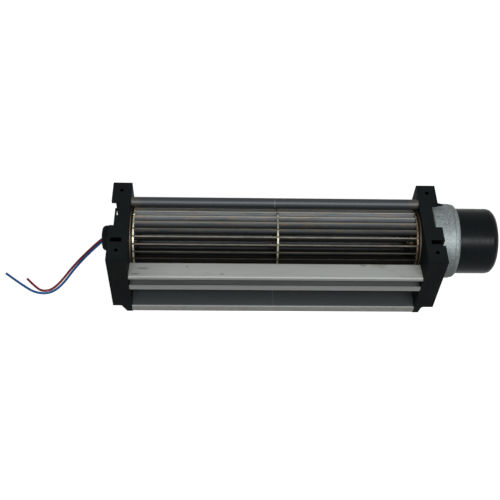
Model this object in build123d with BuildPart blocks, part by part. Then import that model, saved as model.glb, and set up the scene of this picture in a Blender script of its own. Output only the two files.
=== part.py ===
from build123d import *
from math import atan2, cos, degrees, radians, sin, tan
import os

# Cross flow fan, in millimetres with +Z up.
# The inlet faces up, the outlet faces the front (-Y) and the impeller lies along X, motor at +X.
# The origin is on the ground under the middle of the fan without its leads.

os.makedirs("parts", exist_ok=True)

# Housing
inner_width = 183.8
wall = 3.6
skin = 2.2
rim_out = 12.2
corner_r = 20.0
foot_height = 7.5
foot_open = 40.0
foot_r = 1.5
rib_t = 1.6
rib_out = 4.0
floor_clear = 6.2
rear_clear = 2.0

# Sheet metal air walls
sheet = 0.8
slip = 0.1
bead_r = 3.2
bead_angle = 61.0
scroll_gap = 2.9
scroll_shift_y = -0.2
scroll_shift_z = -1.6
lip_drop = 4.9
fold_r = 1.0
tab_width = 6.0
tongue_nose_r = 1.4
tongue_fold_r = 0.8
tongue_nose_back = 13.6
tongue_top_back = 13.1
tongue_top_down = 20.7
tongue_nose_down = 24.4
tongue_front_down = 18.2
tongue_edge_drop = 1.9
strip_down = 27.2
strip_height = 4.8

# Impeller
axis_back = 36.0
axis_down = 25.0
rotor_r = 20.5
scroll_r = rotor_r + scroll_gap
blade_count = 26
blade_phase = 5.8
blade_in_r = 16.0
blade_arc_r = 5.2
blade_t = 0.5
slot_gap = 0.05
ring_in_r = 12.5
centre_ring_t = 1.0
centre_ring_x = 1.2
seat_ring_t = 0.9
waist_t = 1.2
disc_t = 0.8
disc_gap = 1.5
recess_depth = 1.8
recess_r = 22.0

# Shafts and bearings
shaft_r = 2.0
running_gap = 0.05
boss_r = 8.2
boss_out = 19.4
boss_corner = 2.4
pocket_r = 6.4
bush_r = 4.0
bush_length = 7.0
bush_set = 2.0
mount_length = 10.5

# Motor
pad_out = 7.9
pad_r = 22.5
can_t = 1.0
can_out = 24.9
can_lip = 2.4
can_gap = 0.6
can_band = 3.4
can_step = 0.3
can_clear = 0.5
cup_r = 21.3
cup_t = 1.2
cup_out = 50.4
cup_corner = 4.2
cup_inset = 4.5
can_r = cup_r + can_gap + can_lip
magnet_t = 2.2
air_gap = 0.4
stator_teeth = 6
tube_r = 5.0
tube_in_r = 3.5
screw_circle_r = 11.0
screw_count = 2
screw_end_gap = 1.2
screw_r = 1.25
screw_hole_r = 1.45

# Fixing holes in the inlet face, measured from the side walls and the front and rear edges
hole_out = 6.35
hole_front = 7.5
hole_rear = 6.5
hole_r = 1.25
hole_depth = 6.5
hole_boss = 5.8

# Cuts in the inlet rims. The names with out are measured outwards from the side walls.
rim_past = rim_out + 0.5
step_deep = 9.0
slot_deep = 5.0
slot_front = 14.0
slot_wide = 3.2
slot_end = 1.4
left_step_out = 9.4
left_step_back = 9.1
left_notch_out = 7.2
left_notch_back = 4.6
notch_wide = 5.7
slit_out = 7.5
slit_wide = 0.9
slit_front = 35.0
slit_long = 5.2
right_step_out = 7.8
right_step_front = 8.6
right_step_rear = 9.7
right_notch_wide = 3.9
hook_out = 3.2
hook_wide = 1.6

# Leads
lead_d = 1.6
lead_r = lead_d / 2
lead_sides = 8

# Places that follow from the sizes above
depth = axis_back + scroll_shift_y + scroll_r + sheet + rear_clear
height = axis_down - scroll_shift_z + scroll_r + sheet + floor_clear
half_width = inner_width / 2
front_y = -depth / 2
rear_y = depth / 2
hole_x = half_width + hole_out
hole_y = (hole_front - hole_rear) / 2
hole_spacing_y = depth - hole_front - hole_rear
middle_x = (boss_out - cup_out) / 2
axis_y = front_y + axis_back
axis_z = height - axis_down
left_x = middle_x - half_width
right_x = middle_x + half_width
axle = Axis((middle_x, axis_y, axis_z), (1, 0, 0))
turning_plane = Plane(origin=(middle_x, axis_y, axis_z), x_dir=(1, 0, 0), z_dir=(0, -1, 0))
corner_steps = 3
finished = []


def axle_plane(x):
    return Plane(origin=(x, axis_y, axis_z), x_dir=(0, 1, 0), z_dir=(1, 0, 0))


def keep(name, part):
    part.label = name
    export_step(part, "parts/" + name + ".step")
    finished.append(name)


def turned(*outlines):
    # Rings and discs about the impeller axis. x is measured from the middle of the fan.
    with BuildPart() as solid:
        for outline in outlines:
            with BuildSketch(turning_plane):
                with BuildLine():
                    Polyline(*outline, close=True)
                make_face()
            revolve(axis=axle)
    return solid.part


def round_over(x, r, corner):
    # Corner of a turned outline between a cylinder and an end face, in short chords.
    turns = [radians(90 - 90 * n / corner_steps) for n in range(corner_steps + 1)]
    return [(x - corner + corner * cos(t), r - corner + corner * sin(t)) for t in turns]


def ring(x_start, x_end, outer, inner):
    return turned([(x_start, inner), (x_end, inner), (x_end, outer), (x_start, outer)])


# Sheet metal sections, drawn in Y and Z
scroll_y = axis_y + scroll_shift_y
scroll_z = axis_z + scroll_shift_z
bead_path_r = bead_r - sheet / 2
bead_y = scroll_y + (scroll_r + bead_r) * cos(radians(bead_angle))
bead_z = scroll_z + (scroll_r + bead_r) * sin(radians(bead_angle))
floor_z = scroll_z - scroll_r - sheet / 2
face_y = front_y + sheet / 2


def at(back, down):
    return (front_y + back, height - down)


tongue_line = [
    at(sheet / 2, strip_down),
    at(sheet / 2, strip_down + strip_height),
    at(tongue_nose_back, tongue_nose_down),
    at(tongue_top_back, tongue_top_down),
    at(sheet / 2, tongue_front_down),
    at(sheet / 2, tongue_front_down + tongue_edge_drop),
]
tongue_bends = [tongue_fold_r, tongue_nose_r, tongue_nose_r, tongue_fold_r]

# Tabs of the sheets that pass through the side walls: middle (y, z), turn, width
rear_tabs = [
    (scroll_y + scroll_r + sheet / 2, scroll_z, 90, tab_width),
    (scroll_y - 2 * tab_width, floor_z, 0, tab_width),
    (front_y + 1.5 * tab_width, floor_z, 0, tab_width),
]
top_y = (tongue_line[3][0] + tongue_line[4][0]) / 2
top_z = (tongue_line[3][1] + tongue_line[4][1]) / 2
top_slope = degrees(atan2(tongue_line[3][1] - tongue_line[4][1], tongue_line[3][0] - tongue_line[4][0]))
tongue_tabs = [(top_y, top_z, top_slope, tab_width)]
tab_reach = wall + 0.8
both_ends = ((left_x, -1), (right_x, 1))


def tab_solids(tabs, starts, reach, room=0.0):
    with BuildPart() as solid:
        for start, way in starts:
            with BuildSketch(Plane.YZ.offset(start)):
                for y, z, turn, width in tabs:
                    with Locations((y, z)):
                        Rectangle(width + 2 * room, sheet + 2 * room, rotation=turn)
            extrude(amount=way * reach)
    return solid.part


# Rear wall: rolled leading edge, scroll round the impeller, floor and outlet lip
with BuildPart() as rear_wall:
    with BuildSketch(Plane.YZ.offset(left_x)):
        with BuildLine():
            CenterArc((scroll_y, scroll_z), scroll_r + sheet / 2, bead_angle, -90 - bead_angle)
            FilletPolyline(
                (scroll_y, floor_z),
                (face_y, floor_z),
                (face_y, floor_z - lip_drop),
                radius=fold_r,
            )
        trace(line_width=sheet)
    extrude(amount=inner_width)
    with BuildSketch(Plane.YZ.offset(left_x)):
        with BuildLine():
            CenterArc((bead_y, bead_z), bead_path_r, bead_angle + 180, -322)
        trace(line_width=sheet)
    extrude(amount=inner_width)
    add(tab_solids(rear_tabs, both_ends, tab_reach))
keep("rear_wall", rear_wall.part)

# Front wall: folded tongue between impeller and outlet
with BuildPart() as front_wall:
    with BuildSketch(Plane.YZ.offset(left_x)):
        with BuildLine():
            FilletPolyline(*tongue_line, radius=tongue_bends)
        trace(line_width=sheet)
    extrude(amount=inner_width)
    add(tab_solids(tongue_tabs, both_ends, tab_reach))
keep("front_wall", front_wall.part)


def side_profile():
    # Outline of a side plate: square top, rounded rear corner at the bottom, small foot in front.
    with BuildSketch() as profile:
        with BuildLine():
            FilletPolyline(
                (front_y, height),
                (front_y, 0),
                (rear_y, 0),
                (rear_y, height),
                radius=[foot_r, corner_r],
            )
            Line((rear_y, height), (front_y, height))
        make_face()
    return profile.sketch


def rim_cut(way, near, far, back_near, back_far, deep):
    # A cut down from the inlet face: two distances out from the plate, two back from the front.
    x = middle_x + way * (half_width + (near + far) / 2)
    y = front_y + (back_near + back_far) / 2
    with BuildPart() as block:
        with BuildSketch(Plane.XY.offset(height)):
            with Locations((x, y)):
                Rectangle(far - near, back_far - back_near)
        extrude(amount=-deep)
    return block.part


def plate_body(inner_x, way, gusset):
    # Wall, rim, ribs, foot gusset, screw bosses and slots that both side plates share.
    outer_x = inner_x + way * wall
    with BuildPart() as plate:
        with BuildSketch(Plane.YZ.offset(inner_x)):
            add(side_profile())
        extrude(amount=way * wall)
        with BuildSketch(Plane.YZ.offset(outer_x)):
            add(side_profile())
            offset(amount=-skin, mode=Mode.SUBTRACT)
            with Locations((front_y, 0)):
                Rectangle(foot_open, foot_height, align=(Align.MIN, Align.MIN), mode=Mode.SUBTRACT)
        extrude(amount=way * (rim_out - wall))
        with BuildSketch(Plane.YZ.offset(outer_x)):
            with Locations((0, axis_z)):
                Rectangle(depth - skin, rib_t)
            with Locations((axis_y, height / 2)):
                Rectangle(rib_t, height - skin)
        extrude(amount=way * rib_out)
        with BuildSketch(Plane.XZ.offset(-front_y)):
            with BuildLine():
                Polyline(
                    (outer_x, foot_height),
                    *[(outer_x + way * out, up) for out, up in gusset],
                    (outer_x, foot_height / 8),
                    close=True,
                )
            make_face()
        extrude(amount=-skin)
        with BuildSketch(Plane.XY.offset(height)):
            with Locations(((outer_x + inner_x + way * rim_out) / 2, front_y + slot_front + slot_wide / 2)):
                Rectangle(rim_out - wall, slot_wide + 2 * rib_t)
        extrude(amount=-slot_deep - rib_t)
        with BuildSketch(Plane.XY.offset(height)):
            with Locations((middle_x + way * hole_x, hole_y)):
                with GridLocations(hole_out, hole_spacing_y, 1, 2):
                    Rectangle(hole_boss, hole_boss)
        extrude(amount=-hole_depth - skin / 2)
        with BuildSketch(Plane.XY.offset(height)):
            with Locations((middle_x + way * hole_x, hole_y)):
                with GridLocations(hole_out, hole_spacing_y, 1, 2):
                    Circle(hole_r)
        extrude(amount=-hole_depth, mode=Mode.SUBTRACT)
        with BuildSketch(axle_plane(inner_x)):
            Circle(recess_r)
        extrude(amount=way * recess_depth, mode=Mode.SUBTRACT)
        slots = tab_solids(rear_tabs + tongue_tabs, ((inner_x, way),), tab_reach + 0.2, slip)
        add(slots, mode=Mode.SUBTRACT)
        rim_slot = rim_cut(way, wall, rim_out - slot_end, slot_front, slot_front + slot_wide, slot_deep)
        add(rim_slot, mode=Mode.SUBTRACT)
    return plate.part


# Left side plate with the bearing boss
pocket_end = boss_out - 3.0
with BuildPart() as left_side_plate:
    add(plate_body(left_x, -1, [(rim_out / 4, foot_height), (skin / 4, skin)]))
    boss_end = half_width + boss_out
    add(turned([
        (-boss_end, 0),
        *[(-x, r) for x, r in reversed(round_over(boss_end, boss_r, boss_corner))],
        (-half_width - wall / 2, boss_r),
        (-half_width - wall / 2, 0),
    ]))
    with BuildSketch(axle_plane(left_x)):
        Circle(pocket_r)
    extrude(amount=-pocket_end, mode=Mode.SUBTRACT)
    notch_at = axis_back + left_notch_back
    step_at = axis_back - left_step_back
    for cut in (
        rim_cut(-1, left_notch_out, rim_past, notch_at, notch_at + notch_wide, step_deep),
        rim_cut(-1, left_step_out, rim_past, step_at, notch_at + slip, step_deep),
        rim_cut(-1, slit_out, slit_out + slit_wide, slit_front, slit_front + slit_long, skin + slip),
    ):
        add(cut, mode=Mode.SUBTRACT)
keep("left_side_plate", left_side_plate.part)

# Right side plate with the motor pad
hook_x = right_x + rim_out
hook_y = axis_y + right_step_rear
screw_head_r = 2.8
screw_head_t = 1.3
from_base = (Align.CENTER, Align.CENTER, Align.MIN)


def screw_places(x):
    return Locations(*[
        axle_plane(x) * Rot(Z=90 + 360 * n / screw_count) * Pos(screw_circle_r, 0, 0)
        for n in range(screw_count)
    ])


with BuildPart() as right_side_plate:
    add(plate_body(right_x, 1, [(skin, foot_height), (skin / 2, foot_height - skin / 2)]))
    with BuildSketch(axle_plane(right_x + wall)):
        Circle(pad_r)
    extrude(amount=pad_out - wall)
    with BuildSketch(Plane.XY.offset(height)):
        with BuildLine():
            Polyline(
                (hook_x - skin, hook_y),
                (hook_x, hook_y),
                (hook_x + hook_out, hook_y + skin / 4),
                (hook_x, hook_y + hook_wide),
                (hook_x - skin, hook_y + hook_wide),
                close=True,
            )
        make_face()
    extrude(amount=-hook_wide)
    with BuildSketch(axle_plane(right_x + pad_out)):
        Circle(can_r + can_clear)
    extrude(amount=rim_out, mode=Mode.SUBTRACT)
    with BuildSketch(axle_plane(right_x)):
        Circle(tube_in_r)
    extrude(amount=pad_out, mode=Mode.SUBTRACT)
    with BuildSketch(axle_plane(right_x)):
        with PolarLocations(screw_circle_r, screw_count, start_angle=90):
            Circle(screw_hole_r)
    extrude(amount=pad_out, mode=Mode.SUBTRACT)
    step_at = axis_back - right_step_front
    step_to = axis_back + right_step_rear
    slot_end_y = slot_front + slot_wide - skin / 4
    for cut in (
        rim_cut(1, right_step_out, rim_past, step_at, step_to, step_deep),
        rim_cut(1, rim_out - slot_end - slip, rim_past, slot_end_y - right_notch_wide, slot_end_y, step_deep),
    ):
        add(cut, mode=Mode.SUBTRACT)
    with screw_places(right_x + recess_depth):
        Cone(screw_head_r + slip, screw_hole_r, screw_head_t + slip, align=from_base, mode=Mode.SUBTRACT)
keep("right_side_plate", right_side_plate.part)

# Left bearing: sintered bush in a rubber ring
pocket_x = -half_width - pocket_end
ring_x = pocket_x + mount_length
keep("bearing_mount", ring(pocket_x, ring_x, pocket_r, bush_r))
bush_x = pocket_x + bush_set
keep("bearing_bush", ring(bush_x, bush_x + bush_length, bush_r, shaft_r + running_gap))

# Impeller blades: sheet strips bent into the direction of travel, let into three rings
blade_turn = 66.0
slot_bends = 2


def blade_section():
    with BuildSketch() as section:
        with BuildLine():
            CenterArc((blade_in_r, -blade_arc_r), blade_arc_r, 90, -blade_turn)
        trace(line_width=blade_t)
        Circle(rotor_r - slot_gap, mode=Mode.INTERSECT)
    return section.sketch


def slot_section():
    # The slots follow the blade in a few straight cuts that leave it room.
    step = radians(blade_turn / slot_bends)
    start = radians(90 + slot_gap / blade_arc_r)
    chord_r = blade_arc_r / cos(step / 2) ** 0.5
    corners = [
        (blade_in_r + chord_r * cos(start - n * step), chord_r * sin(start - n * step) - blade_arc_r)
        for n in range(slot_bends + 1)
    ]
    room = blade_arc_r * (1 - cos(step / 2)) / 2 + slot_gap
    with BuildSketch() as section:
        with BuildLine():
            Polyline(*corners)
        trace(line_width=blade_t + 2 * room)
    return section.sketch


seat_x = half_width + recess_depth - disc_gap
disc_x = seat_x - disc_t
ring_outer_x = disc_x - waist_t
ring_inner_x = ring_outer_x - seat_ring_t
blade_end_x = ring_outer_x
blade_shape = blade_section()
slot_shape = slot_section()
with BuildPart() as blade:
    with BuildSketch(axle_plane(middle_x - blade_end_x)):
        add(blade_shape)
    extrude(amount=2 * blade_end_x)
for number in range(blade_count):
    keep("blade_%02d" % (number + 1), blade.part.rotate(axle, blade_phase + number * 360 / blade_count))


def slotted_ring(x_start, thickness):
    with BuildPart() as solid:
        with BuildSketch(axle_plane(middle_x + x_start)):
            Circle(rotor_r)
            Circle(ring_in_r, mode=Mode.SUBTRACT)
            with PolarLocations(0, blade_count, start_angle=blade_phase):
                add(slot_shape, mode=Mode.SUBTRACT)
        extrude(amount=thickness)
    return solid.part


keep("centre_ring", slotted_ring(centre_ring_x - centre_ring_t / 2, centre_ring_t))


def end_disc(way, bore):
    # Slotted seat ring, waist and closing disc in one piece.
    with BuildPart() as solid:
        add(slotted_ring(way * ring_inner_x if way > 0 else -ring_outer_x, seat_ring_t))
        add(ring(way * ring_outer_x, way * disc_x, rotor_r - 3.0, ring_in_r))
        add(ring(way * disc_x, way * seat_x, rotor_r, bore))
    return solid.part


hub_r = 5.0
hub_length = 4.0
damper_r = 8.0
flange_r = 6.0
keep("left_end_disc", end_disc(-1, shaft_r))
keep("right_end_disc", end_disc(1, damper_r))

# Stub shaft: pin with a flange that is pressed on the left end disc
stub_x = 1.0 - pocket_end - half_width
flange_t = 1.6
keep("stub_shaft", turned(
    [(stub_x, 0), (-disc_x, 0), (-disc_x, shaft_r), (stub_x, shaft_r)],
    [(-disc_x, 0), (-disc_x + flange_t, 0), (-disc_x + flange_t, flange_r), (-disc_x, flange_r)],
))

# Drive end: hub on the motor shaft, held in the right end disc by a rubber damper
hub_x = seat_x - hub_length
keep("drive_damper", ring(disc_x - waist_t, seat_x, damper_r, hub_r))
keep("drive_hub", ring(hub_x, seat_x, hub_r, shaft_r))

# Motor seat with bearing tube, on the pad of the right plate
pad_x = half_width + pad_out
base_x = pad_x + can_t
tube_reach = 44.0
seat_r = 14.5
seat_t = 4.0
motor_bush_length = 6.5
seat_top = base_x + seat_t
tube_end = half_width + tube_reach
with BuildPart() as motor_seat:
    add(ring(base_x, seat_top, seat_r, tube_in_r))
    add(ring(seat_top, tube_end, tube_r, tube_in_r))
    with BuildSketch(axle_plane(middle_x + base_x)):
        with PolarLocations(screw_circle_r, screw_count, start_angle=90):
            Circle(screw_r)
    extrude(amount=seat_t - screw_end_gap / 2, mode=Mode.SUBTRACT)
keep("motor_seat", motor_seat.part)
for name, start in (("front_bush", base_x + 0.5), ("rear_bush", tube_end - 0.5 - motor_bush_length)):
    keep(name, ring(start, start + motor_bush_length, tube_in_r, shaft_r + running_gap))

# Motor can: drawn drum with a rounded shoulder, open where the rotor cup comes out
can_x = half_width + can_out
mouth_r = cup_r + can_gap
lead_turn = -35.0
lead_x = right_x + (pad_out + can_out) / 2
grommet_r = 3.4
grommet_groove = 0.9
grommet_out = 1.2
lead_gap = 2.4
lead_plane = Plane(
    origin=(lead_x, axis_y, axis_z),
    x_dir=(1, 0, 0),
    z_dir=(0, cos(radians(lead_turn)), sin(radians(lead_turn))),
)
can_outline = [
    (pad_x, tube_in_r),
    (pad_x, can_r - can_t),
    (base_x, can_r),
    (can_x - can_band, can_r),
    (can_x - can_band, can_r - can_step),
    *round_over(can_x, can_r - can_step, can_r - can_step - mouth_r),
    (can_x - can_t, mouth_r),
    (can_x - can_band, can_r - can_t),
    (base_x, can_r - can_t),
    (base_x, tube_in_r),
]
with BuildPart() as motor_can:
    add(turned(can_outline))
    with BuildSketch(axle_plane(middle_x + pad_x)):
        with PolarLocations(screw_circle_r, screw_count, start_angle=90):
            Circle(screw_hole_r)
    extrude(amount=can_t, mode=Mode.SUBTRACT)
    with BuildSketch(lead_plane.offset(can_r - 3 * can_t)):
        Circle(grommet_r - grommet_groove)
    extrude(amount=4 * can_t, mode=Mode.SUBTRACT)
keep("motor_can", motor_can.part)

# Two countersunk screws from the impeller side
screw_x = right_x + recess_depth + slip
screw_tip = middle_x + base_x + seat_t - screw_end_gap
with BuildPart() as motor_screws:
    with screw_places(screw_x):
        Cone(screw_head_r, screw_r, screw_head_t, align=from_base)
        Cylinder(screw_r, screw_tip - screw_x, align=from_base)
keep("motor_screws", motor_screws.part)

# Rotor cup, magnet ring and shaft
cup_x = half_width + cup_out
cup_open = can_x - cup_inset
shaft_end = cup_x - cup_t
cup_outline = [
    (cup_open, cup_r - cup_t),
    (cup_open, cup_r),
    *round_over(cup_x, cup_r, cup_corner),
    (cup_x, 0),
    (shaft_end, 0),
    (shaft_end, cup_r - cup_corner),
    (cup_x - cup_corner, cup_r - cup_t),
]
with BuildPart() as rotor_cup:
    add(turned(cup_outline))
    add(ring(tube_end + 0.4, shaft_end, 4.2, shaft_r))
keep("rotor_cup", rotor_cup.part)
magnet_in_r = cup_r - cup_t - magnet_t
keep("magnet_ring", ring(cup_open + 0.6, cup_x - 8.0, cup_r - cup_t, magnet_in_r))
keep("motor_shaft", ring(hub_x - 1.0, shaft_end, shaft_r, 0))

# Stator: laminated core with six teeth, one coil on each tooth
core_r = magnet_in_r - air_gap
core_start = cup_open + 3.0
core_length = 11.0
yoke_r = 8.0
tooth_w = 4.6
shoe_t = 1.8
with BuildPart() as stator_core:
    with BuildSketch(axle_plane(middle_x + core_start)):
        Circle(core_r)
        Circle(core_r - shoe_t, mode=Mode.SUBTRACT)
        with PolarLocations(core_r, stator_teeth, start_angle=180 / stator_teeth):
            Rectangle(8, 2.2, mode=Mode.SUBTRACT)
        Circle(yoke_r)
        with PolarLocations(core_r / 2, stator_teeth):
            Rectangle(core_r - shoe_t, tooth_w)
        Circle(tube_r, mode=Mode.SUBTRACT)
    extrude(amount=core_length)
keep("stator_core", stator_core.part)
coil_t = 2.2
coil_over = 2.6
with BuildPart() as stator_windings:
    with BuildSketch(axle_plane(middle_x + core_start - coil_over)):
        with PolarLocations((yoke_r + core_r - shoe_t) / 2 + 0.2, stator_teeth):
            Rectangle(core_r - shoe_t - yoke_r - 1.0, tooth_w + 2 * coil_t)
    extrude(amount=core_length + 2 * coil_over)
    add(stator_core.part, mode=Mode.SUBTRACT)
keep("stator_windings", stator_windings.part)

# Circuit board on the bearing tube, with three parts soldered to it
board_x = seat_top
board_t = 1.6
board_gap = 2.0
chip_out = 12.5
chip_wide = 4.0
chip_long = 6.0
chip_tall = 1.8
with BuildPart() as circuit_board:
    add(ring(board_x, board_x + board_t, can_r - can_t - board_gap, tube_r))
    with BuildSketch(axle_plane(middle_x + board_x + board_t)):
        with PolarLocations(chip_out, 3, start_angle=30):
            Rectangle(chip_wide, chip_long)
    extrude(amount=chip_tall)
keep("circuit_board", circuit_board.part)

# Rubber grommet for the leads, low at the back of the can
grommet_start = can_r - 2 * can_t
grommet_face = can_r + slip
with BuildPart() as lead_grommet:
    with BuildSketch(lead_plane.offset(grommet_start)):
        Circle(grommet_r - grommet_groove)
    extrude(amount=can_r + grommet_out - grommet_start)
    with BuildSketch(lead_plane.offset(grommet_face)):
        Circle(grommet_r)
    extrude(amount=can_r + grommet_out - grommet_face)
keep("lead_grommet", lead_grommet.part)


# Leads: bare-ended wires that run along the ground behind the fan and round its left end
lead_section_r = lead_r * (radians(360) / (lead_sides * sin(radians(360 / lead_sides)))) ** 0.5
lead_z = lead_section_r


def lead_route(lateral, first, ground):
    out = can_r + grommet_out
    up = sin(radians(lead_turn))
    back = cos(radians(lead_turn))
    start = (lead_x + lateral, axis_y + out * back, axis_z + out * up)
    bend = (start[0], start[1] + first * back, start[2] + first * up)
    return [start, bend] + [(middle_x + x, y, lead_z) for x, y in ground]


def lead(name, points):
    radii = []
    for before, here, after in zip(points, points[1:], points[2:]):
        run_in = Vector(*here) - Vector(*before)
        run_out = Vector(*after) - Vector(*here)
        half_turn = radians(run_in.get_angle(run_out)) / 2
        radii.append(0.45 * min(run_in.length, run_out.length) / tan(half_turn))
    with BuildPart() as cord:
        with BuildLine():
            route = FilletPolyline(*points, radius=radii)
        with BuildSketch(route ^ 0):
            RegularPolygon(lead_section_r, lead_sides)
        sweep(path=route)
    print(name, "length", round(route.length, 1), "radii", [round(r, 1) for r in radii])
    whole = radians(180) * lead_r ** 2 * route.length
    print(name, "volume", round(cord.part.volume, 1), "of", round(whole, 1))
    keep(name, cord.part)


blue_ground = [
    (88.0, 43.0), (50.0, 41.0), (-2.0, 39.0), (-54.0, 41.0), (-92.0, 43.0), (-111.0, 35.0),
    (-134.5, 4.0), (-145.0, -16.0), (-156.0, -17.3), (-168.6, -9.4), (-178.6, -1.5),
]
red_ground = [
    (88.5, 45.6), (50.0, 43.4), (-2.0, 41.4), (-54.5, 43.4), (-92.8, 45.3), (-113.0, 36.8),
    (-132.5, 12.5), (-146.0, -13.4), (-155.2, -14.6), (-160.8, -9.2), (-163.9, -5.8),
]
lead("lead_blue", lead_route(-lead_gap / 2, 13.0, blue_ground))
lead("lead_red", lead_route(lead_gap / 2, 14.0, red_ground))
print(len(finished), "parts")
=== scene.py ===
import math
import bpy
from mathutils import Matrix, Vector


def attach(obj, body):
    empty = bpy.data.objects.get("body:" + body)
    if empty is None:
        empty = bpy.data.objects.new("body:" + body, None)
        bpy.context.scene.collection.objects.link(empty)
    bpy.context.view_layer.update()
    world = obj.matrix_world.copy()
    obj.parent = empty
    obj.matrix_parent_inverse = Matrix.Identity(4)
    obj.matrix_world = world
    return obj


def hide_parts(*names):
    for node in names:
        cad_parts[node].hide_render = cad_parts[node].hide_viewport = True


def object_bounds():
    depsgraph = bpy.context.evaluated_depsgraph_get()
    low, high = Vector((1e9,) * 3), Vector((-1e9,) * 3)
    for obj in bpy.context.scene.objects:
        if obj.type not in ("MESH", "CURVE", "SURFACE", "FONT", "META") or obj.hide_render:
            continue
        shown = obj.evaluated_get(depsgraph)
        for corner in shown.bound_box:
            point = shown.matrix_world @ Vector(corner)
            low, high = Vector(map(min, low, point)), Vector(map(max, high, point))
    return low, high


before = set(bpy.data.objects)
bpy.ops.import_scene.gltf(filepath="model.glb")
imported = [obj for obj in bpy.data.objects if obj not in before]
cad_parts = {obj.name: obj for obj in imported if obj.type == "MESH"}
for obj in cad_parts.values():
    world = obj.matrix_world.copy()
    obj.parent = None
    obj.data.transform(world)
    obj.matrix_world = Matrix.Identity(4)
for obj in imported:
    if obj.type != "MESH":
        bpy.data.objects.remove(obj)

scene = bpy.context.scene
cad_box = [list(map(float, corner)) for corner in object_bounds()]
MM = 0.001

# Places of the solids that the looks refer to, in millimetres
MIDDLE_X = -15.5
FRONT_Y = cad_box[0][1] / MM
PLATE_TOP_Z = cad_box[1][2] / MM
AXIS_Y, AXIS_Z = 5.0, 32.0
ROTOR_R = 20.5
SCROLL_Y, SCROLL_Z = 4.8, 30.4
SCROLL_R = ROTOR_R + 2.9
BEAD_Y, BEAD_Z, BEAD_R = 17.7, 53.7, 3.4
BEAD_FOOT_Z = 46.0
TONGUE_FOLD_Z = 36.0
FOOT_Z = 6.5
BAND_X = MIDDLE_X + 113.4
LEFT_DISC_X = MIDDLE_X - 90.3

# Places where only the looks change: each pair runs from where a tone begins to where it is full
TONGUE_DARKER_X = MIDDLE_X - 64.5, MIDDLE_X - 92.5
LEFT_CRUST_X = MIDDLE_X - 85.0, MIDDLE_X - 88.5
RIGHT_CRUST_X = MIDDLE_X + 84.5, MIDDLE_X + 87.5
# Where the painted shade on the can's underside begins and where it is full
CAN_SHADE_Z = 50.0, 24.0
SEAM_X, SEAM_HALF = MIDDLE_X - 0.6, 0.4
BAND_HALF = 0.5
SOFT_EDGE = 0.3

# Stretches of the noise: none, along the fan, and round the impeller's axis
EVEN = (1, 1, 1)
ALONG_X = (0.35, 1, 1)
CLOUDY_X = (0.5, 1, 1)
TURNED = (1, 0.1, 0.1)
LAYERED = (1, 0.02, 0.02)

WHITE = (1.0, 1.0, 1.0)
# A Mix node has several sockets of each name, so its colour sockets go by number.
MIX_A, MIX_B, MIX_RESULT = 6, 7, 2


# Materials

def shade(colour, factor):
    return tuple(min(1.0, c * factor) for c in colour)


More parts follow.
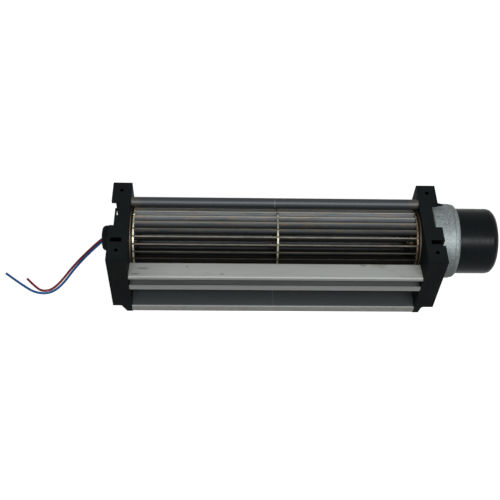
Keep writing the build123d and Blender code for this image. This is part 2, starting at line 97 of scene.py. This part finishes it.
class Look:
    # A material in the making, with the nodes that all looks share. Places are in millimetres
    # and masks run from 0 to 1.

    def __init__(self, name):
        self.mat = bpy.data.materials.new(name)
        self.mat.use_nodes = True
        self.nodes = self.mat.node_tree.nodes
        self.links = self.mat.node_tree.links
        self.shader = self.nodes["Principled BSDF"]

    def feed(self, socket, value):
        # A number or colour is set on the socket, and a node's output is linked to it.
        if isinstance(value, float):
            socket.default_value = value
        elif isinstance(value, tuple):
            socket.default_value = value + (1.0,)
        else:
            self.links.new(value, socket)

    def coords(self, stretch=EVEN):
        place = self.nodes.new("ShaderNodeTexCoord")
        mapping = self.nodes.new("ShaderNodeMapping")
        mapping.inputs["Scale"].default_value = stretch
        self.links.new(place.outputs["Object"], mapping.inputs["Vector"])
        return mapping.outputs["Vector"]

    def noise(self, scale, detail=4.0, stretch=EVEN, rough=0.55):
        texture = self.nodes.new("ShaderNodeTexNoise")
        texture.inputs["Scale"].default_value = scale
        texture.inputs["Detail"].default_value = detail
        texture.inputs["Roughness"].default_value = rough
        self.links.new(self.coords(stretch), texture.inputs["Vector"])
        return texture.outputs["Fac"]

    def ramp(self, fac, stops):
        node = self.nodes.new("ShaderNodeValToRGB")
        elements = node.color_ramp.elements
        while len(elements) < len(stops):
            elements.new(0.5)
        for element, (place, colour) in zip(elements, stops):
            element.position = place
            element.color = colour + (1.0,)
        self.links.new(fac, node.inputs["Fac"])
        return node.outputs["Color"]

    def mix(self, fac, a, b, kind="MIX"):
        node = self.nodes.new("ShaderNodeMix")
        node.data_type = "RGBA"
        node.blend_type = kind
        self.feed(node.inputs["Factor"], fac)
        self.feed(node.inputs[MIX_A], a)
        self.feed(node.inputs[MIX_B], b)
        return node.outputs[MIX_RESULT]

    def span(self, fac, low, high, from_low=0.35, from_high=0.65):
        node = self.nodes.new("ShaderNodeMapRange")
        node.inputs["From Min"].default_value = from_low
        node.inputs["From Max"].default_value = from_high
        node.inputs["To Min"].default_value = low
        node.inputs["To Max"].default_value = high
        self.links.new(fac, node.inputs["Value"])
        return node.outputs["Result"]

    def maths(self, kind, a, b):
        node = self.nodes.new("ShaderNodeMath")
        node.operation = kind
        self.feed(node.inputs[0], a)
        self.feed(node.inputs[1], b)
        return node.outputs[0]

    def times(self, a, b):
        return self.maths("MULTIPLY", a, b)

    def either(self, a, b):
        return self.maths("MAXIMUM", a, b)

    def inverse(self, mask):
        return self.maths("SUBTRACT", 1.0, mask)

    def rise(self, value, low, high):
        # A mask that rises between two values. It falls where low is above high.
        rising = self.span(value, 0.0, 1.0, min(low, high) * MM, max(low, high) * MM)
        return rising if low < high else self.inverse(rising)

    def past(self, axis, low, high):
        place = self.nodes.new("ShaderNodeTexCoord")
        parts = self.nodes.new("ShaderNodeSeparateXYZ")
        self.links.new(place.outputs["Object"], parts.inputs["Vector"])
        return self.rise(parts.outputs[axis], low, high)

    def stripe(self, axis, middle, half):
        low, high = middle - half, middle + half
        rising = self.past(axis, low, low + SOFT_EDGE)
        return self.times(rising, self.past(axis, high, high - SOFT_EDGE))

    def vector(self, kind, a, b=(0.0, 0.0, 0.0)):
        node = self.nodes.new("ShaderNodeVectorMath")
        node.operation = kind
        self.links.new(a, node.inputs[0])
        node.inputs[1].default_value = b
        return node

    def distance(self, place, scale):
        # From a place, with each axis multiplied by its own factor.
        away = self.vector("SUBTRACT", self.coords(), tuple(c * MM for c in place))
        scaled = self.vector("MULTIPLY", away.outputs["Vector"], scale)
        return self.vector("LENGTH", scaled.outputs["Vector"]).outputs["Value"]

    def outside(self, low, high, y=AXIS_Y, z=AXIS_Z):
        # As past, with the distance from a line along X: the impeller's axis or another.
        return self.rise(self.distance((0, y, z), (0, 1, 1)), low, high)

    def spot(self, place, reach, rag=0.9):
        # A ragged patch round a place, empty from its reach on.
        size = self.distance(place, tuple(1 / (c * MM) for c in reach))
        ragged = self.times(self.noise(900.0, rough=0.7), rag)
        return self.span(self.maths("ADD", size, ragged), 1.0, 0.0, 0.7, 1.0)

    def bump(self, height, strength, distance):
        node = self.nodes.new("ShaderNodeBump")
        node.inputs["Strength"].default_value = strength
        node.inputs["Distance"].default_value = distance
        self.links.new(height, node.inputs["Height"])
        self.links.new(node.outputs["Normal"], self.shader.inputs["Normal"])

    def done(self, colour, rough, metallic=0.0, shine=0.5):
        inputs = self.shader.inputs
        self.feed(inputs["Base Color"], colour)
        self.feed(inputs["Roughness"], rough)
        self.feed(inputs["Metallic"], metallic)
        inputs["Specular IOR Level"].default_value = shine
        return self.mat


def moulded(name, base, rough, dust=(0.10, 0.10, 0.095), shine=0.4, marks=(), residue=None, holes=()):
    # Moulded plastic: fine grain, faint cloudiness and a little dust on it. Its front faces are
    # darkened with painted shade.
    look = Look(name)
    # The dark tone of the painted shade on the front faces and in the holes and slots.
    painted_shade = shade(base, 0.1)
    cloud = look.noise(60.0, 3.0)
    colour = look.ramp(cloud, [(0.3, shade(base, 0.75)), (0.7, shade(base, 1.35))])
    specks = look.span(look.noise(900.0, 2.0), 0.0, 0.35, 0.68, 0.8)
    colour = look.mix(specks, colour, dust)
    # Painted shade: the faces towards the front are darkened.
    front = look.times(look.past("Y", FRONT_Y + 0.5, FRONT_Y + 0.1), 0.7)
    colour = look.mix(front, colour, painted_shade)
    for place, reach in marks:
        patch = look.times(look.spot(place, reach, rag=1.4), 0.8)
        colour = look.mix(patch, colour, residue)
    hole_shade = 0.0
    if holes:
        # Painted shade in the holes and slots: their walls and floors are darkened and made metallic
        # so that no highlight lightens them, and the plate's top stays as it is.
        for place, reach in holes:
            hole_shade = look.either(hole_shade, look.spot(place, reach, rag=0.0))
        hole_shade = look.times(hole_shade, look.past("Z", PLATE_TOP_Z - 0.05, PLATE_TOP_Z - 0.2))
        colour = look.mix(hole_shade, colour, painted_shade)
    look.bump(look.noise(2600.0, 2.0), 0.25, 0.00008)
    return look.done(colour, look.span(cloud, rough - 0.07, rough + 0.08), hole_shade, shine)


def rolled(name, base, rough, metallic, stretch=EVEN, streak=0.12):
    # Rolled, drawn or turned metal: streaks along its grain and soft clouding.
    look = Look(name)
    lines = look.noise(1500.0, 3.0, stretch)
    cloud = look.noise(35.0, stretch=CLOUDY_X)
    stops = [(0.25, shade(base, 1 - streak)), (0.75, shade(base, 1 + streak))]
    tone = look.ramp(cloud, [(0.3, shade(WHITE, 0.86)), (0.7, WHITE)])
    colour = look.mix(1.0, look.ramp(lines, stops), tone, "MULTIPLY")
    look.bump(lines, 0.12, 0.00005)
    return look.done(colour, look.span(lines, rough - 0.06, rough + 0.09), metallic)


def tongue_sheet(name, base, fold_shade, stain, marks):
    # Zinc coated sheet: even and dull on top, darker towards the left end, brown spots. Painted shade
    # darkens its front face and, most of all, the fold behind its front edges.
    look = Look(name)
    lines = look.noise(1300.0, 3.0, (0.02, 1, 1))
    cloud = look.noise(30.0, stretch=CLOUDY_X)
    colour = look.ramp(lines, [(0.25, shade(base, 0.93)), (0.75, shade(base, 1.07))])
    tone = look.ramp(cloud, [(0.3, (0.93, 0.93, 0.92)), (0.7, WHITE)])
    colour = look.mix(1.0, colour, tone, "MULTIPLY")
    # Darker towards the left end.
    darker_left = look.times(look.past("X", *TONGUE_DARKER_X), 0.75)
    colour = look.mix(darker_left, colour, shade(base, 0.62))
    patches = look.noise(120.0, 5.0, ALONG_X, 0.7)
    colour = look.mix(look.span(patches, 0.0, 0.7, 0.60, 0.74), colour, stain)
    for place, reach in marks:
        patch = look.times(look.spot(place, reach), 0.6)
        colour = look.mix(patch, colour, shade(stain, 0.5))
    # Painted shade: the front face is darkened.
    front = look.past("Y", FRONT_Y + 1.1, FRONT_Y + 0.2)
    colour = look.mix(front, colour, shade(base, 0.42))
    # Painted shade in the fold: darkened, and metallic there so that no highlight lightens it.
    fold_shade_mask = look.past("Y", FRONT_Y + 0.85, FRONT_Y + 1.4)
    fold_shade_mask = look.times(fold_shade_mask, look.past("Z", TONGUE_FOLD_Z, TONGUE_FOLD_Z - 1.0))
    colour = look.mix(fold_shade_mask, colour, fold_shade)
    look.bump(lines, 0.1, 0.00004)
    metallic = look.span(fold_shade_mask, 0.15, 1.0, 0.0, 1.0)
    return look.done(colour, look.span(lines, 0.46, 0.58), metallic)


def rear_sheet(name, bead_reflection, scroll_shade, lip, stain):
    # The rolled edge is painted dark, a painted reflection of dark surroundings; the scroll gets
    # painted shade that deepens inwards; the outlet lip and the back are light and mottled.
    look = Look(name)
    lines = look.noise(1100.0, 3.0, (0.015, 1, 1))
    mottle = look.noise(330.0, 5.0, (0.6, 1, 1), 0.7)
    upper = look.past("Z", BEAD_FOOT_Z, BEAD_FOOT_Z + 2.0)
    front = look.past("Y", FRONT_Y + 0.8, FRONT_Y + 0.3)
    # Painted shade: the scroll darkens further in from the front.
    painted_shade = look.past("Y", FRONT_Y + 2.0, FRONT_Y + 14.0)
    colour = look.mix(painted_shade, scroll_shade, shade(scroll_shade, 0.35))
    # Painted reflection: the rolled edge is painted dark.
    colour = look.mix(upper, colour, bead_reflection)
    back = look.outside(SCROLL_R + 0.35, SCROLL_R + 0.55, SCROLL_Y, SCROLL_Z)
    back = look.times(back, look.past("Y", AXIS_Y - 1.0, AXIS_Y))
    back = look.either(back, look.past("Z", FOOT_Z, FOOT_Z - 0.2))
    back = look.times(back, look.outside(BEAD_R, BEAD_R + 0.6, BEAD_Y, BEAD_Z))
    colour = look.mix(back, colour, shade(lip, 1.5))
    colour = look.mix(front, colour, lip)
    tone = look.ramp(lines, [(0.25, shade(WHITE, 0.85)), (0.75, WHITE)])
    colour = look.mix(1.0, colour, tone, "MULTIPLY")
    spots = look.times(front, look.span(mottle, 0.0, 0.7, 0.48, 0.66))
    colour = look.mix(spots, colour, stain)
    ends = look.either(look.past("X", *LEFT_CRUST_X), look.past("X", *RIGHT_CRUST_X))
    crust = look.times(look.times(ends, look.span(mottle, 0.35, 1.0, 0.40, 0.60)), upper)
    colour = look.mix(crust, colour, shade(stain, 0.55))
    seam = look.times(look.stripe("X", SEAM_X, SEAM_HALF), 0.4)
    colour = look.mix(seam, colour, lip)
    look.bump(lines, 0.08, 0.00004)
    return look.done(colour, look.span(front, 0.5, 0.55, 0.0, 1.0),
                     look.span(front, 0.6, 0.15, 0.0, 1.0))


def stamped_sheet(name, rim, middle_shade, shade_r, tarnish=None):
    # Rings and end discs: bright and speckled at the rim, with painted shade darkening them towards
    # the middle, inside the impeller. The outer face of the left disc and the whole right disc are
    # tarnished.
    look = Look(name)
    specks = look.noise(500.0, rough=0.7)
    colour = look.ramp(specks, [(0.35, shade(rim, 0.6)), (0.6, rim)])
    if tarnish:
        left = look.past("X", LEFT_DISC_X, LEFT_DISC_X - 0.2)
        right = look.past("X", MIDDLE_X, MIDDLE_X + 1.0)
        colour = look.mix(look.either(left, right), colour, tarnish)
    # Painted shade towards the middle.
    colour = look.mix(look.outside(shade_r + 2.0, shade_r), colour, middle_shade)
    look.bump(specks, 0.1, 0.00005)
    return look.done(colour, look.span(specks, 0.38, 0.55), 0.8)


def blade_strip(name, tip, face, stain):
    # Blade sheet: bright cut edge at the tip, dull face with streaks and brown spots along it.
    look = Look(name)
    edge = look.outside(ROTOR_R - 0.25, ROTOR_R - 0.12)
    lines = look.noise(900.0, 3.0, (0.05, 1, 1))
    spots = look.noise(420.0, stretch=ALONG_X, rough=0.7)
    dull = look.ramp(lines, [(0.25, shade(face, 0.7)), (0.75, shade(face, 1.35))])
    bright = look.ramp(spots, [(0.3, shade(tip, 0.55)), (0.62, tip)])
    worn = look.mix(look.span(spots, 0.0, 0.8, 0.50, 0.68), dull, stain)
    # Painted light and shade, placed for the impeller at rest: painted shade darkens the blades
    # towards the axis except on the uppermost ones, whose tips get a painted highlight that is
    # stronger on the rearmost tips; the front ones are darker.
    top = look.past("Z", AXIS_Z + 10.0, AXIS_Z + 12.0)
    lit_top = look.times(look.past("Y", AXIS_Y - 6.0, AXIS_Y - 2.0), top)
    rear = look.times(look.past("Y", AXIS_Y + 4.0, AXIS_Y + 6.0), top)
    darker_front = look.times(look.past("Y", AXIS_Y - 8.5, AXIS_Y - 12.0), 0.8)
    inner_shade = look.times(look.outside(ROTOR_R - 0.7, ROTOR_R - 3.7), look.inverse(lit_top))
    # From here the blade colour takes painted shade on top of its brown spots.
    worn = look.mix(inner_shade, worn, shade(face, 0.15))
    worn = look.mix(darker_front, worn, shade(stain, 0.12))
    bright = look.mix(lit_top, bright, shade(tip, 2.2))
    bright = look.mix(rear, bright, shade(tip, 4.5))
    look.bump(lines, 0.1, 0.00005)
    return look.done(look.mix(edge, worn, bright), look.span(edge, 0.62, 0.5, 0.0, 1.0), 0.85)


def zinc_can(name, base):
    # Zinc coated drawn steel: mottled spangle, a dark band line and small dark specks past it.
    # Painted shade darkens it towards the bottom.
    look = Look(name)
    cells = look.nodes.new("ShaderNodeTexVoronoi")
    cells.inputs["Scale"].default_value = 520.0
    look.links.new(look.coords(), cells.inputs["Vector"])
    grains = look.nodes.new("ShaderNodeSeparateColor")
    look.links.new(cells.outputs["Color"], grains.inputs["Color"])
    mottle = look.noise(760.0, 5.0, rough=0.75)
    colour = look.ramp(mottle, [(0.36, shade(base, 0.6)), (0.5, base), (0.66, shade(base, 1.4))])
    spangle = look.ramp(grains.outputs["Red"], [(0.0, (0.84, 0.85, 0.86)), (1.0, WHITE)])
    colour = look.mix(1.0, colour, spangle, "MULTIPLY")
    # Painted shade: darker towards the bottom.
    underside_shade = look.times(look.past("Z", *CAN_SHADE_Z), 0.95)
    colour = look.mix(underside_shade, colour, shade(base, 0.1))
    band = look.times(look.stripe("X", BAND_X, BAND_HALF), 0.6)
    specks = look.times(look.past("X", BAND_X, BAND_X + SOFT_EDGE),
                        look.span(mottle, 1.0, 0.0, 0.34, 0.42))
    colour = look.mix(look.either(band, specks), colour, shade(base, 0.3))
    look.bump(mottle, 0.15, 0.00008)
    return look.done(colour, look.span(mottle, 0.48, 0.64), 0.5)


def black_cup(name, base):
    # Semi-gloss black drawn cup with fine turning marks round its axis.
    look = Look(name)
    rings = look.noise(1800.0, 2.0, (1.0, 0.004, 0.004))
    cloud = look.noise(90.0)
    colour = look.ramp(cloud, [(0.3, shade(base, 0.8)), (0.7, shade(base, 1.5))])
    look.bump(rings, 0.22, 0.00006)
    return look.done(colour, look.span(rings, 0.27, 0.39), shine=0.055)


def insulation(name, base):
    # Soft plastic round a lead, faintly cloudy.
    look = Look(name)
    cloud = look.noise(300.0, 3.0)
    colour = look.ramp(cloud, [(0.3, shade(base, 0.8)), (0.7, shade(base, 1.3))])
    look.bump(look.noise(1500.0, 2.0), 0.15, 0.00005)
    return look.done(colour, look.span(cloud, 0.38, 0.5), shine=0.15)


# Place and reach of each brown mark on the tongue and of each pale residue on the plates
TONGUE_MARKS = (
    ((-71.2, -21.4, 37.0), (1.8, 1.8, 9.0)),
    ((-49.6, -27.8, 38.0), (3.0, 1.6, 9.0)),
    ((39.8, -19.2, 37.0), (4.5, 1.6, 9.0)),
    ((-99.0, -23.0, 37.0), (9.0, 2.2, 9.0)),
    ((-103.0, -28.0, 38.0), (6.0, 2.0, 9.0)),
)
PLATE_MARKS = (
    ((-112.0, -31.0, 3.0), (3.5, 2.5, 3.5)),
    ((86.0, 15.0, 50.0), (3.0, 3.0, 4.5)),
    ((-108.0, -31.0, 27.0), (1.2, 3.0, 1.2)),
)

# The holes and slots below get painted shade in the plastic.
# Fixing holes and slots of both side plates, by their distance from the middle
HOLE_OUT, SLOT_OUT = 98.25, 99.1
HOLE_REACH, SLOT_REACH = (2.6, 2.6, 8.0), (5.2, 3.6, 8.0)
PLATE_HOLES = tuple(
    ((MIDDLE_X + way * out, y, PLATE_TOP_Z - 3.5), reach)
    for way in (-1, 1)
    for out, y, reach in (
        (HOLE_OUT, -23.5, HOLE_REACH), (HOLE_OUT, 24.5, HOLE_REACH), (SLOT_OUT, -15.4, SLOT_REACH),
    )
)

# The painted shade inside the impeller.
IMPELLER_SHADE = (0.012, 0.011, 0.01)

plastic = moulded(
    "moulded_black", (0.0034, 0.0046, 0.0050), rough=0.7, dust=(0.012, 0.012, 0.011), shine=0.042,
    marks=PLATE_MARKS, residue=(0.16, 0.155, 0.14), holes=PLATE_HOLES,
)
# The fold's tone is painted shade.
tongue_zinc = tongue_sheet(
    "tongue_zinc", base=(0.252, 0.264, 0.252), fold_shade=(0.016, 0.017, 0.0165),
    stain=(0.14, 0.11, 0.08), marks=TONGUE_MARKS,
)
# The rolled edge's dark tone is a painted reflection, and the scroll's tone is painted shade.
rear_zinc = rear_sheet(
    "rear_zinc", bead_reflection=(0.023, 0.0265, 0.030), scroll_shade=(0.058, 0.066, 0.068),
    lip=(0.112, 0.114, 0.104), stain=(0.073, 0.063, 0.053),
)
blade_metal = blade_strip(
    "blade_strip", tip=(0.055, 0.052, 0.042), face=(0.046, 0.0515, 0.057),
    stain=(0.09, 0.065, 0.04),
)
ring_metal = stamped_sheet("ring_sheet", (0.22, 0.20, 0.15), IMPELLER_SHADE, ROTOR_R - 3.3)
disc_metal = stamped_sheet(
    "end_disc_sheet", (0.45, 0.42, 0.33), IMPELLER_SHADE, ROTOR_R - 2.9, tarnish=(0.10, 0.075, 0.045),
)
can_metal = zinc_can("can_zinc", (0.138, 0.158, 0.158))
cup_paint = black_cup("cup_black", (0.0018, 0.0026, 0.0031))
bronze = rolled("bronze", (0.42, 0.28, 0.14), rough=0.45, metallic=0.9)
steel = rolled("turned_steel", (0.35, 0.35, 0.36), rough=0.35, metallic=0.95, stretch=TURNED)
cast = rolled("cast_seat", (0.4, 0.4, 0.4), rough=0.5, metallic=0.9)
brass = rolled("turned_brass", (0.14, 0.10, 0.05), rough=0.45, metallic=0.9, stretch=TURNED)
laminated = rolled(
    "laminations", (0.3, 0.3, 0.31), rough=0.4, metallic=0.9, stretch=LAYERED, streak=0.35,
)
copper = rolled("copper_wire", (0.55, 0.24, 0.11), rough=0.35, metallic=0.9, streak=0.25)
ferrite = moulded("ferrite", (0.035, 0.035, 0.036), rough=0.6)
rubber = moulded("rubber_black", (0.008, 0.008, 0.008), rough=0.7, shine=0.2)
board = moulded("board_green", (0.02, 0.12, 0.045), rough=0.5)


def dress(node, mat):
    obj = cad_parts[node]
    if not obj.material_slots:
        obj.data.materials.append(mat)
    for place in obj.material_slots:
        place.material = mat


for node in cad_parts:
    if node.startswith("blade_"):
        dress(node, blade_metal)
for mat, names in (
    (ring_metal, ("centre_ring",)),
    (disc_metal, ("left_end_disc", "right_end_disc")),
    (plastic, ("left_side_plate", "right_side_plate")),
    (rear_zinc, ("rear_wall",)),
    (tongue_zinc, ("front_wall",)),
    (bronze, ("bearing_bush", "front_bush", "rear_bush")),
    (rubber, ("bearing_mount", "drive_damper", "lead_grommet")),
    (steel, ("stub_shaft", "motor_shaft", "motor_screws")),
    (cast, ("motor_seat",)),
    (brass, ("drive_hub",)),
    (can_metal, ("motor_can",)),
    (cup_paint, ("rotor_cup",)),
    (ferrite, ("magnet_ring",)),
    (laminated, ("stator_core",)),
    (copper, ("stator_windings",)),
    (board, ("circuit_board",)),
):
    for name in names:
        dress(name, mat)

for name in ("left_side_plate", "right_side_plate", "motor_can"):
    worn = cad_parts[name].modifiers.new("rounded_edges", "BEVEL")
    worn.width = 0.25 * MM
    worn.segments = 2
    worn.limit_method = "ANGLE"
    worn.angle_limit = math.radians(50)
    worn.use_clamp_overlap = True


# Leads

LEAD_D = 1.6
LEAD_X = 108.3
LEAD_GAP = 2.4
LEAD_TURN = math.radians(-35.0)
LEAD_OUT = 25.5
# The curve cuts the corners of its points, so it is a little shorter than their runs.
CURVE_SHARE = 0.983


def from_axis(side, out):
    # A place on the line in which the leads leave the motor can.
    return (MIDDLE_X + LEAD_X + side,
            AXIS_Y + out * math.cos(LEAD_TURN), AXIS_Z + out * math.sin(LEAD_TURN))


def lead(name, node, mat, side, straight, ground):
    start = from_axis(side, LEAD_OUT)
    points = [start, from_axis(side, LEAD_OUT + straight)]
    points += [(MIDDLE_X + x, y, LEAD_D / 2) for x, y in ground]
    curve = bpy.data.curves.new(name, "CURVE")
    curve.dimensions = "3D"
    curve.bevel_depth = LEAD_D / 2 * MM
    curve.bevel_resolution = 6
    curve.resolution_u = 16
    curve.use_fill_caps = True
    spline = curve.splines.new("NURBS")
    spline.points.add(len(points) - 1)
    for place, point in zip(spline.points, points):
        place.co = tuple(c * MM for c in point) + (1.0,)
    spline.order_u = 3
    spline.use_endpoint_u = True
    obj = bpy.data.objects.new(name, curve)
    scene.collection.objects.link(obj)
    curve.materials.append(mat)
    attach(obj, "housing")
    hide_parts(node)
    runs = zip(points, points[1:])
    length = CURVE_SHARE * sum(math.dist(a, b) for a, b in runs)


# From the motor can round the back and the left end, then out to the bare ends in front
blue_ground = [
    (88.0, 43.0), (50.0, 41.0), (-2.0, 39.0), (-54.0, 41.0), (-92.0, 43.0), (-111.0, 34.2),
    (-130.9, 8.5), (-142.6, -16.0), (-155.4, -18.3), (-168.6, -9.4), (-178.6, -1.5),
]
red_ground = [
    (88.5, 45.6), (50.0, 43.4), (-2.0, 41.4), (-54.5, 43.4), (-92.6, 45.3), (-112.2, 35.5),
    (-132.3, 9.5), (-144.1, -13.4), (-152.4, -16.2), (-158.6, -11.4), (-163.9, -5.8),
]
lead("blue_wire", "lead_blue", insulation("blue_insulation", (0.006, 0.045, 0.14)),
     side=-LEAD_GAP / 2, straight=13.0, ground=blue_ground)
lead("red_wire", "lead_red", insulation("red_insulation", (0.10, 0.012, 0.014)),
     side=LEAD_GAP / 2, straight=14.0, ground=red_ground)


# Floor, light and camera

FLOOR_HALF = 6.0
FLOOR_PAPER = (0.28, 0.28, 0.28)
FLOOR_GLOW = 0.82
SOFT_LIGHT, SOFT_STRENGTH = (0.95, 0.97, 1.0), 0.14
LIT_PLACE = Vector((0.0, 0.0, 0.03))


def shown_pale(nodes, links, lit, pale, out):
    # Pale to the camera, in reflections and through glass, and plainly lit for all else.
    path = nodes.new("ShaderNodeLightPath")
    seen = path.outputs["Is Camera Ray"]
    for ray in ("Is Glossy Ray", "Is Transmission Ray"):
        either = nodes.new("ShaderNodeMath")
        either.operation = "MAXIMUM"
        links.new(seen, either.inputs[0])
        links.new(path.outputs[ray], either.inputs[1])
        seen = either.outputs[0]
    choose = nodes.new("ShaderNodeMixShader")
    links.new(seen, choose.inputs["Fac"])
    links.new(lit.outputs[0], choose.inputs[1])
    links.new(pale.outputs[0], choose.inputs[2])
    links.new(choose.outputs[0], out.inputs["Surface"])


def pale_floor(name):
    mat = bpy.data.materials.new(name)
    mat.use_nodes = True
    nodes, links = mat.node_tree.nodes, mat.node_tree.links
    nodes.clear()
    paper = nodes.new("ShaderNodeBsdfDiffuse")
    paper.inputs["Color"].default_value = FLOOR_PAPER + (1.0,)
    glow = nodes.new("ShaderNodeEmission")
    glow.inputs["Strength"].default_value = FLOOR_GLOW
    both = nodes.new("ShaderNodeAddShader")
    links.new(paper.outputs[0], both.inputs[0])
    links.new(glow.outputs[0], both.inputs[1])
    shown_pale(nodes, links, paper, both, nodes.new("ShaderNodeOutputMaterial"))
    return mat


def background(nodes, colour, strength):
    node = nodes.new("ShaderNodeBackground")
    node.inputs["Color"].default_value = colour + (1.0,)
    node.inputs["Strength"].default_value = strength
    return node


floor_mesh = bpy.data.meshes.new("floor")
near, far = -FLOOR_HALF, FLOOR_HALF
corners = [(near, near, 0), (far, near, 0), (far, far, 0), (near, far, 0)]
floor_mesh.from_pydata(corners, [], [(0, 1, 2, 3)])
floor = bpy.data.objects.new("floor", floor_mesh)
scene.collection.objects.link(floor)
floor_mesh.materials.append(pale_floor("pale_floor"))

world = bpy.data.worlds.new("studio")
scene.world = world
world.use_nodes = True
nodes, links = world.node_tree.nodes, world.node_tree.links
nodes.clear()
shown_pale(nodes, links, background(nodes, SOFT_LIGHT, SOFT_STRENGTH),
           background(nodes, WHITE, 1.0), nodes.new("ShaderNodeOutputWorld"))


def softbox(name, place, width, depth, power):
    light = bpy.data.lights.new(name, "AREA")
    light.shape = "RECTANGLE"
    light.size = width
    light.size_y = depth
    light.energy = power
    obj = bpy.data.objects.new(name, light)
    scene.collection.objects.link(obj)
    obj.location = place
    aim = LIT_PLACE - Vector(place)
    obj.rotation_euler = aim.to_track_quat("-Z", "Y").to_euler()


softbox("key", (0.08, -0.72, 0.93), width=1.2, depth=0.22, power=24.0)
softbox("top", (0.1, 0.10, 1.3), width=1.2, depth=0.6, power=0.6)
softbox("side", (1.1, -0.2, 0.7), width=0.5, depth=0.8, power=2.0)

# The photo's camera, fitted to corners and round edges of the fan: its place, its azimuth,
# elevation and roll in degrees, and its focal length over the width of the picture
CAMERA_PLACE = (-0.04952, -0.33098, 0.46525)
CAMERA_TURN = (-3.166, 52.899, 2.971)
FOCAL_SHARE = 1.6812
SENSOR_WIDTH = 36.0

camera_data = bpy.data.cameras.new("camera")
camera_data.sensor_width = SENSOR_WIDTH
camera_data.lens = FOCAL_SHARE * SENSOR_WIDTH
camera_data.clip_start = 0.01
camera_data.clip_end = 50.0
camera = bpy.data.objects.new("camera", camera_data)
scene.collection.objects.link(camera)
azimuth, elevation, roll = map(math.radians, CAMERA_TURN)
ahead = Vector((
    math.sin(-azimuth) * math.cos(elevation), math.cos(azimuth) * math.cos(elevation),
    -math.sin(elevation),
))
level = ahead.cross(Vector((0, 0, 1))).normalized()
above = level.cross(ahead)
right = math.cos(roll) * level + math.sin(roll) * above
up = -math.sin(roll) * level + math.cos(roll) * above
turn = Matrix((right, up, -ahead)).transposed().to_4x4()
camera.matrix_world = Matrix.Translation(CAMERA_PLACE) @ turn
scene.camera = camera

scene.view_settings.view_transform = "Standard"
